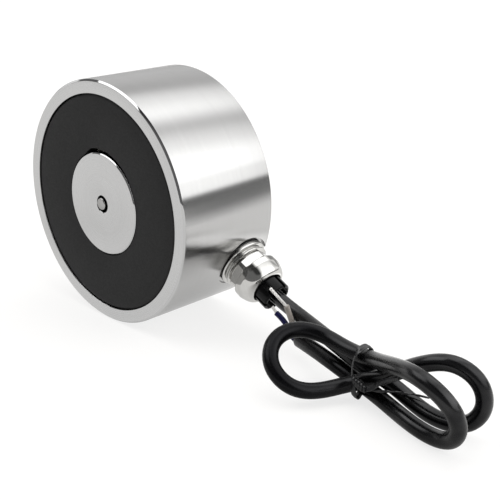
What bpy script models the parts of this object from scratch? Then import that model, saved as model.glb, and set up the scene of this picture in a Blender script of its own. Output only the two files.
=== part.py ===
"""Round holding electromagnet with its cable gland and tied-up supply cable.

The magnet axis is horizontal, along Y, and the holding face looks toward -Y.
The turned pot rests on its curved side on the floor z = 0, with the origin
on the floor under the middle of the pot. The gland leaves the pot wall on
the +X side, pointing a little down. All sizes below are in millimetres.
"""
import math

import bmesh
import bpy
import numpy as np
from mathutils import Matrix, Vector

MM = 0.001
FIT = 0.3                    # clearance left between neighbouring pieces

POT_RADIUS = 50.0
POT_LENGTH = 46.6
RIM_WIDTH = 5.6
BASE_THICKNESS = 7.0
FRONT_CHAMFER = 0.8
REAR_CHAMFER = 0.5

POLE_CHAMFER = 0.3
SPIGOT_RADIUS = 11.7         # rear spigot that centres the core in the base
FRONT_HOLE_RADIUS = 3.2
FRONT_HOLE_DEPTH = 3.0
PIN_RADIUS = 2.4
PIN_LENGTH = 12.0
PIN_RECESS = 0.1
MOUNT_THREAD = (4.25, 5.0, 1.5, 16.0)   # minor radius, major radius, pitch, depth

RESIN_RECESS = 0.4
RESIN_THICKNESS = 5.3
SKIRT_DEPTH = 3.5            # the resin reaches further back outside the bobbin
LEAD_LANE = 6.4              # room for the leads between the bobbin and the pot wall
FLANGE_THICKNESS = 1.5
FLANGE_LIP = 1.8             # the bobbin's flanges stand this far out of the winding
BOBBIN_WALL = 1.3
DISC_THICKNESS = 0.8
COIL_BUILD = 13.3            # radial depth of the winding; the core fills the rest
WINDING_LAYERS = 8
TAPE_THICKNESS = 0.6

GLAND_SETBACK = 11.2         # from the rear face of the pot to the gland axis
GLAND_TILT = 26.8            # degrees below the horizontal
SPOT_DEPTH = 1.7             # depth of the flat seat below the pot's radius
SPOT_RADIUS = 12.0
GLAND_THREAD = (7.1, 7.8, 1.5)          # minor radius, major radius, pitch
SPIGOT_REACH = 2.0           # length of the gland's spigot inside the pot
SHEATH_INSET = 1.6           # the cable's sheath ends this far inside the spigot
GASKET_THICKNESS = 0.5
FLANGE_RADIUS = 10.8         # flange of the gland body
BODY_HEIGHT = 7.7            # from the gasket to the top of the hexagon
HEX_FLATS = 17.2
HEX_TURN = 54.5              # degrees, a corner of the hexagon round the gland axis
CAP_THREAD = (7.35, 8.0, 1.2)
CAP_THREAD_LENGTH = 4.3
NUT_RADIUS = 10.6
NUT_FLATS = 18.6
NUT_TURN = 77.0              # degrees, a corner of the nut round the gland axis
NUT_SHOULDER = 2.8           # from the foot of the nut to the start of its dome
NUT_LENGTH = 8.0
MOUTH_RADIUS = 6.75
CLAW_RADIUS = 6.35
CLAW_WALL = 1.1
CLAW_SLOTS = 3               # slots right across the ring, so twice as many fingers
CLAW_SLOT = 1.6
CLAW_TURN = 48.5             # degrees, a slot of the ring round the gland axis
CLAW_OVERHANG = 6.1          # the fingers stand this far out of the nut

CABLE_RADIUS = 2.9
CABLE_STEP = 5.7             # distance between the rings of the cable tube
CORE_RADIUS = 1.1
TIP_RADIUS = 0.6
SLEEVE_RADIUS = 1.6
LEAD_SPACING = 6.0
TIE_WIDTH = 2.2
TAIL_WIDTH = 1.5
TIE_THICKNESS = 0.5

# Centre line of the cable, from its end inside the gland to the free end.
ROUTE = [
    (39.3, 12.1, 30.2), (51.8, 12.1, 23.8), (65.3, 12.2, 17.4), (77.4, 11.5, 14.1),
    (91.2, 8.0, 12.9), (105.7, 2.9, 12.7), (115.3, 1.4, 11.2), (126.7, 3.5, 7.0),
    (138.2, 2.3, 4.1), (150.0, 1.2, 3.0), (159.0, 2.1, 5.3), (164.2, 2.5, 13.1),
    (162.2, 1.0, 22.4), (154.5, -2.2, 26.9), (145.5, -4.6, 24.5), (134.6, -3.8, 17.4),
    (123.4, -3.3, 10.0), (115.3, -6.6, 6.2), (109.7, -15.2, 5.0), (104.1, -22.6, 7.0),
    (96.3, -24.2, 12.3), (91.1, -18.7, 17.9), (92.0, -9.5, 20.4), (98.5, -3.1, 19.2),
    (109.4, -2.0, 17.3), (120.7, -3.2, 17.6), (132.3, -8.3, 21.3), (145.4, -15.3, 26.2),
    (154.5, -18.6, 27.3), (163.0, -18.1, 23.1), (166.2, -15.1, 14.7), (162.2, -12.0, 6.6),
    (153.6, -9.7, 3.2), (140.5, -6.8, 3.2), (126.9, -1.7, 3.0), (117.2, 0.3, 4.0),
    (106.6, 0.3, 6.8), (94.2, 3.4, 7.2), (79.1, 8.8, 5.8),
]
# The two bared cores at the free end, from the end of the sheath outward.
CORE_BROWN = [(77.9, 9.3, 7.0), (76.8, 9.0, 8.6), (76.0, 7.9, 12.1), (75.2, 6.7, 16.4),
              (74.6, 5.7, 19.8)]
CORE_BLUE = [(77.9, 9.0, 4.7), (76.2, 8.2, 6.0), (74.8, 7.3, 9.2), (72.4, 6.1, 13.2),
             (69.6, 5.4, 15.4)]
TIP_END_BROWN = (67.8, 3.8, 25.6)
TIP_END_BLUE = (67.7, 5.2, 17.4)

# The twist tie: a loop round the four strands and two tails beside the knot.
TIE_LOOP = [
    (119.9, -8.6, 6.8), (119.5, -7.1, 3.5), (117.3, -3.6, 2.3), (116.1, -0.8, 0.7),
    (115.6, 2.7, 1.5), (116.2, 4.2, 4.8), (116.9, 5.1, 8.2), (117.7, 5.3, 11.5),
    (118.8, 3.1, 14.4), (119.7, 1.1, 17.3), (120.2, -0.7, 20.5), (120.1, -3.5, 21.6),
    (119.2, -6.2, 20.1), (118.6, -7.1, 17.8), (118.4, -7.8, 14.6), (118.9, -8.2, 10.7),
]
TIE_TAILS = [
    [(120.3, -8.7, 8.7), (122.9, -7.9, 9.6), (125.7, -7.6, 10.6), (128.4, -7.4, 12.8),
     (131.2, -7.6, 15.4), (134.7, -7.9, 17.5), (138.3, -8.7, 18.7)],
    [(120.3, -8.7, 7.3), (124.5, -7.0, 8.6), (127.5, -5.8, 8.9), (130.2, -3.8, 9.1),
     (132.1, -1.6, 8.4), (134.5, -0.1, 7.9), (137.4, 1.0, 8.1), (140.3, 2.5, 7.9),
     (142.6, 4.1, 7.4)],
]
TIE_KNOT = ((120.3, -8.9, 7.8), (1.6, 1.2, 2.4))   # centre and half sizes

GLAND_Y = POT_LENGTH / 2 - GLAND_SETBACK
SPOT_FACE = POT_RADIUS - SPOT_DEPTH
GLAND_SEAT = SPOT_FACE + FIT + GASKET_THICKNESS + FIT     # where the gland's flange rests
SPIGOT_END = POT_RADIUS - RIM_WIDTH - SPIGOT_REACH
BOBBIN_RADIUS = POT_RADIUS - RIM_WIDTH - LEAD_LANE
WINDING_RADIUS = BOBBIN_RADIUS - FLANGE_LIP
SPOOL_RADIUS = WINDING_RADIUS - COIL_BUILD - FIT
POLE_RADIUS = SPOOL_RADIUS - BOBBIN_WALL - FIT
RESIN_BACK = -POT_LENGTH / 2 + RESIN_RECESS + RESIN_THICKNESS
SKIRT_BACK = RESIN_BACK + SKIRT_DEPTH

POT_FRAME = Matrix.Translation((0, 0, POT_RADIUS)) @ Matrix.Rotation(math.radians(-90), 4, "X")
GLAND_FRAME = (Matrix.Translation((0, GLAND_Y, POT_RADIUS))
               @ Matrix.Rotation(math.radians(90 + GLAND_TILT), 4, "Y"))


def material(name, colour, roughness, metallic=0.0):
    mat = bpy.data.materials.new(name)
    mat.use_nodes = True
    shader = mat.node_tree.nodes["Principled BSDF"]
    shader.inputs["Base Color"].default_value = (*colour, 1.0)
    shader.inputs["Roughness"].default_value = roughness
    shader.inputs["Metallic"].default_value = metallic
    mat.diffuse_color = (*colour, 1.0)
    return mat


def add_object(name, bm, mat, frame=Matrix.Identity(4), smooth=True):
    """Turn a mesh drawn in millimetres in a local frame into a named object."""
    bmesh.ops.transform(bm, matrix=frame, verts=bm.verts)
    bmesh.ops.scale(bm, vec=(MM, MM, MM), verts=bm.verts)
    bmesh.ops.recalc_face_normals(bm, faces=bm.faces)
    mesh = bpy.data.meshes.new(name)
    bm.to_mesh(mesh)
    bm.free()
    if smooth:
        mesh.shade_smooth()
        mesh.set_sharp_from_angle(angle=math.radians(35))
    if mat:
        mesh.materials.append(mat)
    obj = bpy.data.objects.new(name, mesh)
    bpy.context.collection.objects.link(obj)
    return obj


def turned(outline, segments):
    """Spin a closed outline of (radius, height) points round the local Z axis."""
    bm = bmesh.new()
    half = math.pi / segments
    ring = [bm.verts.new((r * math.sin(half), -r * math.cos(half), z)) for r, z in outline]
    edges = [bm.edges.new((a, b)) for a, b in zip(ring, ring[1:] + ring[:1])]
    bmesh.ops.spin(bm, geom=ring + edges, axis=(0, 0, 1), cent=(0, 0, 0),
                   angle=math.tau, steps=segments, use_merge=True)
    bmesh.ops.remove_doubles(bm, verts=bm.verts, dist=1e-4)
    flat = [f for f in bm.faces if f.calc_area() < 1e-9]
    bmesh.ops.delete(bm, geom=flat, context="FACES")
    loose = [e for e in bm.edges if not e.link_faces]
    bmesh.ops.delete(bm, geom=loose, context="EDGES")
    return bm


def screw_thread(root, crest, pitch, start, end, segments=20, rows=4):
    """A solid rod with a helical thread that fades out at both of its ends."""
    bm = bmesh.new()
    count = int(round((end - start) / pitch * rows))
    rings = []
    for j in range(count + 1):
        z = start + (end - start) * j / count
        fade = min(1.0, (z - start) / pitch, (end - z) / pitch)
        ring = []
        for i in range(segments):
            phase = (z / pitch - i / segments) % 1.0
            tooth = min(1.0, max(0.0, 1.5 - 3.0 * abs(phase - 0.5)))
            r = root + (crest - root) * tooth * fade
            angle = math.tau * i / segments
            ring.append(bm.verts.new((r * math.cos(angle), r * math.sin(angle), z)))
        rings.append(ring)
    for low, high in zip(rings, rings[1:]):
        for i in range(segments):
            k = (i + 1) % segments
            bm.faces.new((low[i], low[k], high[k], high[i]))
    bm.faces.new(rings[0][::-1])
    bm.faces.new(rings[-1])
    return bm


def hexagon_trimmer(flats, turn, start, end):
    """A six-sided ring with a hexagonal hole, for cutting the flats of a nut."""
    bm = bmesh.new()
    corner = flats / 2 / math.cos(math.pi / 6)
    outside = 1.6 * corner
    rings = []
    for z in (start, end):
        for radius in (corner, outside):
            rings.append([bm.verts.new((radius * math.cos(a), radius * math.sin(a), z))
                          for a in (math.radians(turn + 60 * k) for k in range(6))])
    inner_low, outer_low, inner_high, outer_high = rings
    for a, b in ((inner_low, outer_low), (outer_low, outer_high),
                 (outer_high, inner_high), (inner_high, inner_low)):
        for i in range(6):
            k = (i + 1) % 6
            bm.faces.new((a[i], a[k], b[k], b[i]))
    return bm


def box(size, centre):
    bm = bmesh.new()
    bmesh.ops.create_cube(bm, size=1.0)
    bmesh.ops.scale(bm, vec=size, verts=bm.verts)
    bmesh.ops.translate(bm, vec=centre, verts=bm.verts)
    return bm


def combine(obj, tool, operation):
    """Add a live Boolean modifier and hide the tool it uses."""
    tool.hide_render = True
    tool.display_type = "WIRE"
    mod = obj.modifiers.new(tool.name, "BOOLEAN")
    mod.object = tool
    mod.operation = operation
    mod.solver = "EXACT"


def smooth_path(points, step):
    """Points at an even distance along the natural cubic spline through a route."""
    knots = np.array(points, float)
    h = np.linalg.norm(np.diff(knots, axis=0), axis=1)
    n = len(knots)
    system, load = np.eye(n), np.zeros((n, 3))
    for i in range(1, n - 1):
        system[i, i - 1:i + 2] = h[i - 1], 2 * (h[i - 1] + h[i]), h[i]
        load[i] = 6 * ((knots[i + 1] - knots[i]) / h[i] - (knots[i] - knots[i - 1]) / h[i - 1])
    bend = np.linalg.solve(system, load)
    fine = []
    for i in range(n - 1):
        for t in np.linspace(0, h[i], 24, endpoint=False):
            q = h[i] - t
            fine.append((bend[i] * q ** 3 + bend[i + 1] * t ** 3) / (6 * h[i])
                        + (knots[i] / h[i] - bend[i] * h[i] / 6) * q
                        + (knots[i + 1] / h[i] - bend[i + 1] * h[i] / 6) * t)
    fine = np.array(fine + [knots[-1]])
    along = np.r_[0, np.cumsum(np.linalg.norm(np.diff(fine, axis=0), axis=1))]
    stops = np.linspace(0, along[-1], int(round(along[-1] / step)) + 1)
    return np.stack([np.interp(stops, along, fine[:, k]) for k in range(3)], axis=1)


def tube(name, points, radius, mat, sides=2):
    """A round wire along a row of points, as a bevelled curve with filled ends."""
    curve = bpy.data.curves.new(name, "CURVE")
    curve.dimensions = "3D"
    curve.bevel_depth = radius * MM
    curve.bevel_resolution = sides
    curve.use_fill_caps = True
    spline = curve.splines.new("POLY")
    spline.points.add(len(points) - 1)
    for target, point in zip(spline.points, points):
        target.co = (*(Vector(point) * MM), 1.0)
    spline.use_smooth = True
    curve.materials.append(mat)
    obj = bpy.data.objects.new(name, curve)
    bpy.context.collection.objects.link(obj)
    return obj


def in_gland(points):
    """Points given in the frame of the gland, in the frame of the whole part."""
    return [GLAND_FRAME @ Vector(p) for p in points]


def build_housing(steel):
    """Turned pot: rim, wall and base, with the bores for the core and the gland."""
    front, rear = -POT_LENGTH / 2, POT_LENGTH / 2
    inside = POT_RADIUS - RIM_WIDTH
    floor = rear - BASE_THICKNESS
    bore = SPIGOT_RADIUS + FIT
    outline = [
        (inside, front), (POT_RADIUS - FRONT_CHAMFER, front),
        (POT_RADIUS, front + FRONT_CHAMFER), (POT_RADIUS, rear - REAR_CHAMFER),
        (POT_RADIUS - REAR_CHAMFER, rear), (bore + 0.4, rear), (bore, rear - 0.4),
        (bore, floor), (inside - 0.8, floor), (inside, floor - 0.8),
    ]
    housing = add_object("housing", turned(outline, 96), steel, POT_FRAME)
    hole = GLAND_THREAD[1] + FIT
    drill_end = SPIGOT_END - 4
    clear = POT_RADIUS + 6
    drill = [(0, drill_end), (hole, drill_end), (hole, SPOT_FACE),
             (SPOT_RADIUS, SPOT_FACE), (SPOT_RADIUS, clear), (0, clear)]
    combine(housing, add_object("cut_gland_seat", turned(drill, 48), None, GLAND_FRAME),
            "DIFFERENCE")


def build_pole(steel, pin_steel):
    """Solid core with a plugged centre hole in front and a mounting thread behind."""
    front, rear = -POT_LENGTH / 2, POT_LENGTH / 2
    shoulder = rear - BASE_THICKNESS - FIT
    pin_hole = PIN_RADIUS + FIT
    pin_end = front + PIN_RECESS + PIN_LENGTH
    outline = [
        (0, pin_end + FIT), (pin_hole, pin_end + FIT),
        (pin_hole, front + FRONT_HOLE_DEPTH), (FRONT_HOLE_RADIUS, front + FRONT_HOLE_DEPTH),
        (FRONT_HOLE_RADIUS, front + 0.2), (FRONT_HOLE_RADIUS + 0.2, front),
        (POLE_RADIUS - POLE_CHAMFER, front), (POLE_RADIUS, front + POLE_CHAMFER),
        (POLE_RADIUS, shoulder), (SPIGOT_RADIUS, shoulder),
        (SPIGOT_RADIUS, rear - 0.6), (SPIGOT_RADIUS - 0.4, rear - 0.2), (0, rear - 0.2),
    ]
    core = add_object("pole_core", turned(outline, 60), steel, POT_FRAME)
    minor, major, pitch, depth = MOUNT_THREAD
    tap = screw_thread(minor, major, pitch, rear - depth, rear + 2 * pitch, 16)
    combine(core, add_object("cut_mount_thread", tap, None, POT_FRAME), "DIFFERENCE")
    top = front + PIN_RECESS
    pin = [(0, top), (PIN_RADIUS - 0.3, top), (PIN_RADIUS, top + 0.3),
           (PIN_RADIUS, pin_end), (0, pin_end)]
    add_object("centre_pin", turned(pin, 24), pin_steel, POT_FRAME)


def build_coil(plastic, copper, tape_mat, card, resin):
    """Bobbin, winding and tape behind the resin, on a disc that lies on the base."""
    front = RESIN_BACK - RESIN_THICKNESS
    base = POT_LENGTH / 2 - BASE_THICKNESS
    bore = POLE_RADIUS + FIT
    wall = POT_RADIUS - RIM_WIDTH - FIT
    disc_back = base - FIT
    disc_front = disc_back - DISC_THICKNESS
    bobbin_back = disc_front - FIT
    bobbin_front = RESIN_BACK + FIT

    skirt = BOBBIN_RADIUS + 1.6
    ring = [(bore, front), (wall, front), (wall, SKIRT_BACK), (skirt, SKIRT_BACK),
            (skirt, RESIN_BACK), (bore, RESIN_BACK)]
    add_object("potting_ring", turned(ring, 60), resin, POT_FRAME)

    inner_front = bobbin_front + FLANGE_THICKNESS
    inner_back = bobbin_back - FLANGE_THICKNESS
    bobbin = [(bore, bobbin_front), (BOBBIN_RADIUS, bobbin_front), (BOBBIN_RADIUS, inner_front),
              (SPOOL_RADIUS, inner_front), (SPOOL_RADIUS, inner_back), (BOBBIN_RADIUS, inner_back),
              (BOBBIN_RADIUS, bobbin_back), (bore, bobbin_back)]
    add_object("coil_bobbin", turned(bobbin, 32), plastic, POT_FRAME)

    start, end = inner_front + FIT, inner_back - FIT
    pitch = (end - start) / WINDING_LAYERS
    winding = [(SPOOL_RADIUS + FIT, start)]
    for k in range(WINDING_LAYERS):
        z = start + k * pitch
        winding += [(WINDING_RADIUS - 0.5, z), (WINDING_RADIUS, z + 0.25 * pitch),
                    (WINDING_RADIUS, z + 0.75 * pitch)]
    winding += [(WINDING_RADIUS - 0.5, end), (SPOOL_RADIUS + FIT, end)]
    add_object("coil_winding", turned(winding, 32), copper, POT_FRAME)

    inside = WINDING_RADIUS + FIT
    outside = inside + TAPE_THICKNESS
    wrap = [(inside, start), (outside, start), (outside, end), (inside, end)]
    add_object("coil_tape", turned(wrap, 32), tape_mat, POT_FRAME)
    disc = [(bore, disc_front), (BOBBIN_RADIUS, disc_front), (BOBBIN_RADIUS, disc_back),
            (bore, disc_back)]
    add_object("insulating_disc", turned(disc, 32), card, POT_FRAME)


def build_leads(brown, blue, sleeve_mat):
    """Cable cores inside the pot, the splice sleeves and the two coil leads."""
    sheath_end = SPIGOT_END + SHEATH_INSET
    lane = POT_RADIUS - RIM_WIDTH - LEAD_LANE / 2
    lead_radius = 0.9 * CORE_RADIUS
    rest = WINDING_RADIUS + FIT + TAPE_THICKNESS + FIT + lead_radius
    sleeve_start = -(GLAND_THREAD[1] + FIT + 2 * CORE_RADIUS)
    lead_end = SKIRT_BACK + FIT - GLAND_Y
    sleeve_end = lead_end + 5.2
    for side, colour, mat in ((1, "brown", brown), (-1, "blue", blue)):
        x = side * LEAD_SPACING / 2
        core = [(side * 1.3, 0, sheath_end - FIT), (side * 1.3, 0, sheath_end - 1.2),
                (side * 1.5, -1.0, sheath_end - 2.4), (side * 2.2, -4, lane), (x, -8, lane),
                (x, sleeve_start, lane)]
        tube("inner_core_" + colour, in_gland(core), CORE_RADIUS, mat)
        sleeve = in_gland([(x, sleeve_start - FIT, lane), (x, sleeve_end, lane)])
        tube("splice_sleeve_" + colour, sleeve, SLEEVE_RADIUS, sleeve_mat, 4)
        lead = [(x, sleeve_end - FIT, lane), (x, lead_end + 4.0, lane - 0.1),
                (x, lead_end + 2.4, lane - 1.3), (x, lead_end + 1.1, rest + 0.2),
                (x, lead_end, rest)]
        tube("coil_lead_" + colour, in_gland(lead), lead_radius, mat)


def build_gland(nickel, rubber, plastic, black_rubber):
    """Gland body, gasket, seal, claw ring and dome nut, stacked along the gland axis."""
    bore = CABLE_RADIUS + 0.5
    seat, flange = GLAND_SEAT, FLANGE_RADIUS
    top = seat + BODY_HEIGHT
    claw_seat = top - 1.1
    neck = CAP_THREAD[0]
    corner = HEX_FLATS / 2 / math.cos(math.pi / 6)
    outline = [
        (0, seat - 1), (6.6, seat - 1), (6.6, seat), (flange - 0.3, seat),
        (flange, seat + 0.3), (flange, seat + 0.9), (flange - 0.4, seat + 1.3),
        (flange - 1.5, seat + 1.5), (flange - 1.5, seat + 2.2), (flange - 0.9, seat + 2.5),
        (flange - 0.9, seat + 3.1), (flange - 2.5, seat + 3.5), (flange - 2.5, seat + 3.9),
        (corner - 0.8, seat + 3.9), (corner, seat + 4.4), (corner, top - 0.5),
        (corner - 0.8, top), (neck - 0.4, top), (neck - 0.4, top + 0.9), (0, top + 0.9),
    ]
    body = add_object("gland_body", turned(outline, 40), nickel, GLAND_FRAME)
    spigot = screw_thread(*GLAND_THREAD, SPIGOT_END, seat - 0.4)
    combine(body, add_object("add_spigot_thread", spigot, None, GLAND_FRAME), "UNION")
    cap_end = top + CAP_THREAD_LENGTH
    cap = screw_thread(*CAP_THREAD, top - 0.1, cap_end)
    combine(body, add_object("add_cap_thread", cap, None, GLAND_FRAME), "UNION")
    flats = hexagon_trimmer(HEX_FLATS, HEX_TURN, seat + 3.7, top + 0.1)
    combine(body, add_object("cut_body_flats", flats, None, GLAND_FRAME, False), "DIFFERENCE")
    claw_bore = CLAW_RADIUS + FIT
    hole = [(0, SPIGOT_END - 2), (bore, SPIGOT_END - 2), (bore, claw_seat),
            (claw_bore, claw_seat), (claw_bore, cap_end + 2), (0, cap_end + 2)]
    combine(body, add_object("cut_cable_bore", turned(hole, 32), None, GLAND_FRAME),
            "DIFFERENCE")

    low = SPOT_FACE + FIT
    inner, outer = GLAND_THREAD[1] + 0.5, FLANGE_RADIUS - 0.4
    gasket = [(inner, low), (outer, low), (outer + 0.2, low + GASKET_THICKNESS / 2),
              (outer, low + GASKET_THICKNESS), (inner, low + GASKET_THICKNESS)]
    add_object("gland_gasket", turned(gasket, 32), rubber, GLAND_FRAME)

    nut_inside = CAP_THREAD[1] + FIT
    foot = top + FIT
    shoulder = foot + NUT_SHOULDER
    mouth = foot + NUT_LENGTH
    lip = MOUTH_RADIUS + 0.2
    nut_outline = [(nut_inside, foot), (NUT_FLATS / 2 - 0.4, foot), (NUT_RADIUS, foot + 1.0)]
    for k in range(7):
        t = k / 6
        nut_outline.append((NUT_RADIUS + (lip - NUT_RADIUS) * (0.6 * t + 0.4 * t ** 3),
                            shoulder + (mouth - shoulder) * (1 - (1 - t) ** 1.6)))
    nut_outline += [(MOUTH_RADIUS, mouth - 0.3), (MOUTH_RADIUS, mouth - 1.1),
                    (nut_inside, mouth - 2.8)]
    nut = add_object("gland_dome_nut", turned(nut_outline, 48), nickel, GLAND_FRAME)
    flats = hexagon_trimmer(NUT_FLATS, NUT_TURN, foot - 1, mouth + 1)
    combine(nut, add_object("cut_nut_flats", flats, None, GLAND_FRAME, False), "DIFFERENCE")

    start, end = claw_seat + FIT, mouth + CLAW_OVERHANG
    inner = CLAW_RADIUS - CLAW_WALL
    claw = [(inner, start), (CLAW_RADIUS, start), (CLAW_RADIUS, end - 0.6),
            (CLAW_RADIUS - 0.6, end), (inner, end)]
    fingers = add_object("gland_claw", turned(claw, 36), plastic, GLAND_FRAME)
    for k in range(CLAW_SLOTS):
        slot = box((4 * CLAW_RADIUS, CLAW_SLOT, end - start),
                   (0, 0, start + 3.5 + (end - start) / 2))
        turn = Matrix.Rotation(math.radians(CLAW_TURN + 180 / CLAW_SLOTS * k), 4, "Z")
        combine(fingers, add_object(f"cut_claw_slot_{k + 1}", slot, None, GLAND_FRAME @ turn, False),
                "DIFFERENCE")

    cable_hole = CABLE_RADIUS + FIT
    seal_end = mouth + 2.8
    seal = [(cable_hole, start), (inner - FIT, start), (inner - FIT, seal_end - 0.6),
            (inner - 0.9, seal_end), (cable_hole, seal_end)]
    add_object("gland_seal", turned(seal, 24), black_rubber, GLAND_FRAME)


def build_cable(sheath, brown, blue, tinned):
    """The tied-up cable, and the two cores with tinned tips at its free end."""
    tube("cable", smooth_path(ROUTE, CABLE_STEP), CABLE_RADIUS, sheath, 4)
    for colour, route, tip_end, mat in (("brown", CORE_BROWN, TIP_END_BROWN, brown),
                                        ("blue", CORE_BLUE, TIP_END_BLUE, blue)):
        points = smooth_path(route, 1.5)
        tube("core_" + colour, points, CORE_RADIUS, mat)
        end = Vector(points[-1])
        start = end + (end - Vector(points[-2])).normalized() * FIT
        bend = start + (end - Vector(points[-2])).normalized() * 0.8
        tube("tip_" + colour, [start, bend, Vector(tip_end)], TIP_RADIUS, tinned)


def band(name, path, closed, sideways, width, mat=None):
    """A flat strip of the tie along a path, its width along the given directions."""
    bm = bmesh.new()
    count = len(path)
    rings = []
    for i, point in enumerate(path):
        before = path[i - 1] if closed or i else path[0]
        after = path[(i + 1) % count] if closed or i < count - 1 else path[-1]
        along = (Vector(after) - Vector(before)).normalized()
        wide = (sideways[i] - along * along.dot(sideways[i])).normalized()
        thick = along.cross(wide)
        a, b = wide * width / 2, thick * TIE_THICKNESS / 2
        rings.append([bm.verts.new(Vector(point) + offset)
                      for offset in (a + b, b - a, -a - b, a - b)])
    pairs = list(zip(rings, rings[1:])) + ([(rings[-1], rings[0])] if closed else [])
    for low, high in pairs:
        for i in range(4):
            k = (i + 1) % 4
            bm.faces.new((low[i], low[k], high[k], high[i]))
    if not closed:
        bm.faces.new(rings[0][::-1])
        bm.faces.new(rings[-1])
    return add_object(name, bm, mat, smooth=False)


def build_tie(plastic):
    """Flat twist tie: a loop round the strands, a knot and two twisted tails."""
    loop = smooth_path(TIE_LOOP + TIE_LOOP[:1], 2.5)[:-1]
    axis = [Vector((0.95, 0, -0.31))] * len(loop)
    tie = band("twist_tie", loop, True, axis, TIE_WIDTH, plastic)
    for k, route in enumerate(TIE_TAILS):
        tail = smooth_path(route, 1.5)
        twist = [Vector((0, math.sin(0.7 * i + k), math.cos(0.7 * i + k)))
                 for i in range(len(tail))]
        combine(tie, band(f"add_tail_{k + 1}", tail, False, twist, TAIL_WIDTH), "UNION")
    bm = bmesh.new()
    centre, half_sizes = TIE_KNOT
    bmesh.ops.create_icosphere(bm, subdivisions=2, radius=1.0)
    bmesh.ops.scale(bm, vec=half_sizes, verts=bm.verts)
    bmesh.ops.translate(bm, vec=centre, verts=bm.verts)
    combine(tie, add_object("add_knot", bm, None), "UNION")


def main():
    for obj in list(bpy.data.objects):
        bpy.data.objects.remove(obj)
    steel = material("turned_steel", (0.62, 0.61, 0.60), 0.28, 1.0)
    nickel = material("polished_nickel", (0.74, 0.73, 0.71), 0.12, 1.0)
    resin = material("black_resin", (0.035, 0.035, 0.037), 0.6)
    sheath = material("black_pvc", (0.02, 0.02, 0.021), 0.35)
    black = material("black_nylon", (0.015, 0.015, 0.016), 0.4)
    rubber = material("black_rubber", (0.02, 0.02, 0.02), 0.7)
    brown = material("brown_insulation", (0.30, 0.25, 0.20), 0.45)
    blue = material("blue_insulation", (0.02, 0.03, 0.16), 0.4)
    tinned = material("tinned_copper", (0.70, 0.70, 0.68), 0.3, 1.0)
    build_housing(steel)
    build_pole(steel, material("pin_steel", (0.66, 0.65, 0.63), 0.3, 1.0))
    build_coil(material("bobbin_nylon", (0.75, 0.73, 0.66), 0.5),
               material("enamelled_copper", (0.55, 0.22, 0.08), 0.3, 1.0),
               material("yellow_tape", (0.70, 0.55, 0.12), 0.5),
               material("insulating_card", (0.45, 0.36, 0.24), 0.8), resin)
    build_leads(brown, blue, material("splice_sleeve", (0.80, 0.79, 0.74), 0.5))
    build_gland(nickel, rubber, black, material("seal_rubber", (0.018, 0.018, 0.018), 0.65))
    build_cable(sheath, brown, blue, tinned)
    build_tie(black)


main()
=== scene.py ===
import math

import bmesh
import bpy
import numpy as np
from mathutils import Matrix, Vector


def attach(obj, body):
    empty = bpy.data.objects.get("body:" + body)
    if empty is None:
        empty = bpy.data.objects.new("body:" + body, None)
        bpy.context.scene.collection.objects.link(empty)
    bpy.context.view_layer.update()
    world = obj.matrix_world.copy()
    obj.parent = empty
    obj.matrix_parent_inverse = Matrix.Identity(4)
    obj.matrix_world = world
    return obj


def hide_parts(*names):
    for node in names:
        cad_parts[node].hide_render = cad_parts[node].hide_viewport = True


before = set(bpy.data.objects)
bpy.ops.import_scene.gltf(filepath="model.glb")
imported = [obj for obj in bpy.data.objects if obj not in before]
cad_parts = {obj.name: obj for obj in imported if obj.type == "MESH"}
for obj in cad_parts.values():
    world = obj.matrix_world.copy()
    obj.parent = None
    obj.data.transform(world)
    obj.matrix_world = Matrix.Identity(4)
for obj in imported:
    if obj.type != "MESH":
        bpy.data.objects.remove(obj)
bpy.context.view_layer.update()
MM = 0.001


# The photograph's view: from above and in front of the gland side, with the
# holding face on the left and the hank of cable on the right.
view = bpy.data.cameras.new("camera")
view.lens = 70.02
view.sensor_width = 36.0
view.clip_start = 0.01
view.clip_end = 60.0
camera = bpy.data.objects.new("camera", view)
camera.location = (0.305604, -0.243955, 0.169129)
camera.rotation_euler = (math.radians(69.557), 0.0, math.radians(45.106))
bpy.context.collection.objects.link(camera)
bpy.context.scene.camera = camera


# The supply cable, a round two-core lead in satin black PVC, 5.8 mm thick.
# It leaves the gland, lies on the floor in two loops gathered by the tie, and
# its cut end comes back beside the gland.
CABLE_RADIUS = 2.9 * MM
ROUTE = [
    (39.3, 12.1, 30.2), (51.8, 12.1, 23.8), (65.3, 12.2, 17.4), (77.4, 11.5, 14.1),
    (91.2, 8.0, 12.9), (105.7, 2.9, 12.7), (115.3, 1.4, 11.2), (126.7, 3.5, 7.0),
    (138.2, 2.3, 4.1), (150.0, 1.2, 3.0), (159.0, 2.1, 5.3), (164.2, 2.5, 13.1),
    (162.2, 1.0, 22.4), (154.5, -2.2, 26.9), (145.5, -4.6, 24.5), (134.6, -3.8, 17.4),
    (123.4, -3.3, 10.0), (115.3, -6.6, 6.2), (109.7, -15.2, 5.0), (104.1, -22.6, 7.0),
    (96.3, -24.2, 12.3), (91.1, -18.7, 17.9), (92.0, -9.5, 20.4), (98.5, -3.1, 19.2),
    (109.4, -2.0, 17.3), (120.7, -3.2, 17.6), (132.3, -8.3, 21.3), (145.4, -15.3, 26.2),
    (154.5, -18.6, 27.3), (163.0, -18.1, 23.1), (166.2, -15.1, 14.7), (162.2, -12.0, 6.6),
    (153.6, -9.7, 3.2), (140.5, -6.8, 3.2), (126.9, -1.7, 3.0), (117.2, 0.3, 4.0),
    (106.6, 0.3, 6.8), (94.2, 3.4, 7.2), (79.1, 8.8, 5.8),
]


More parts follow.
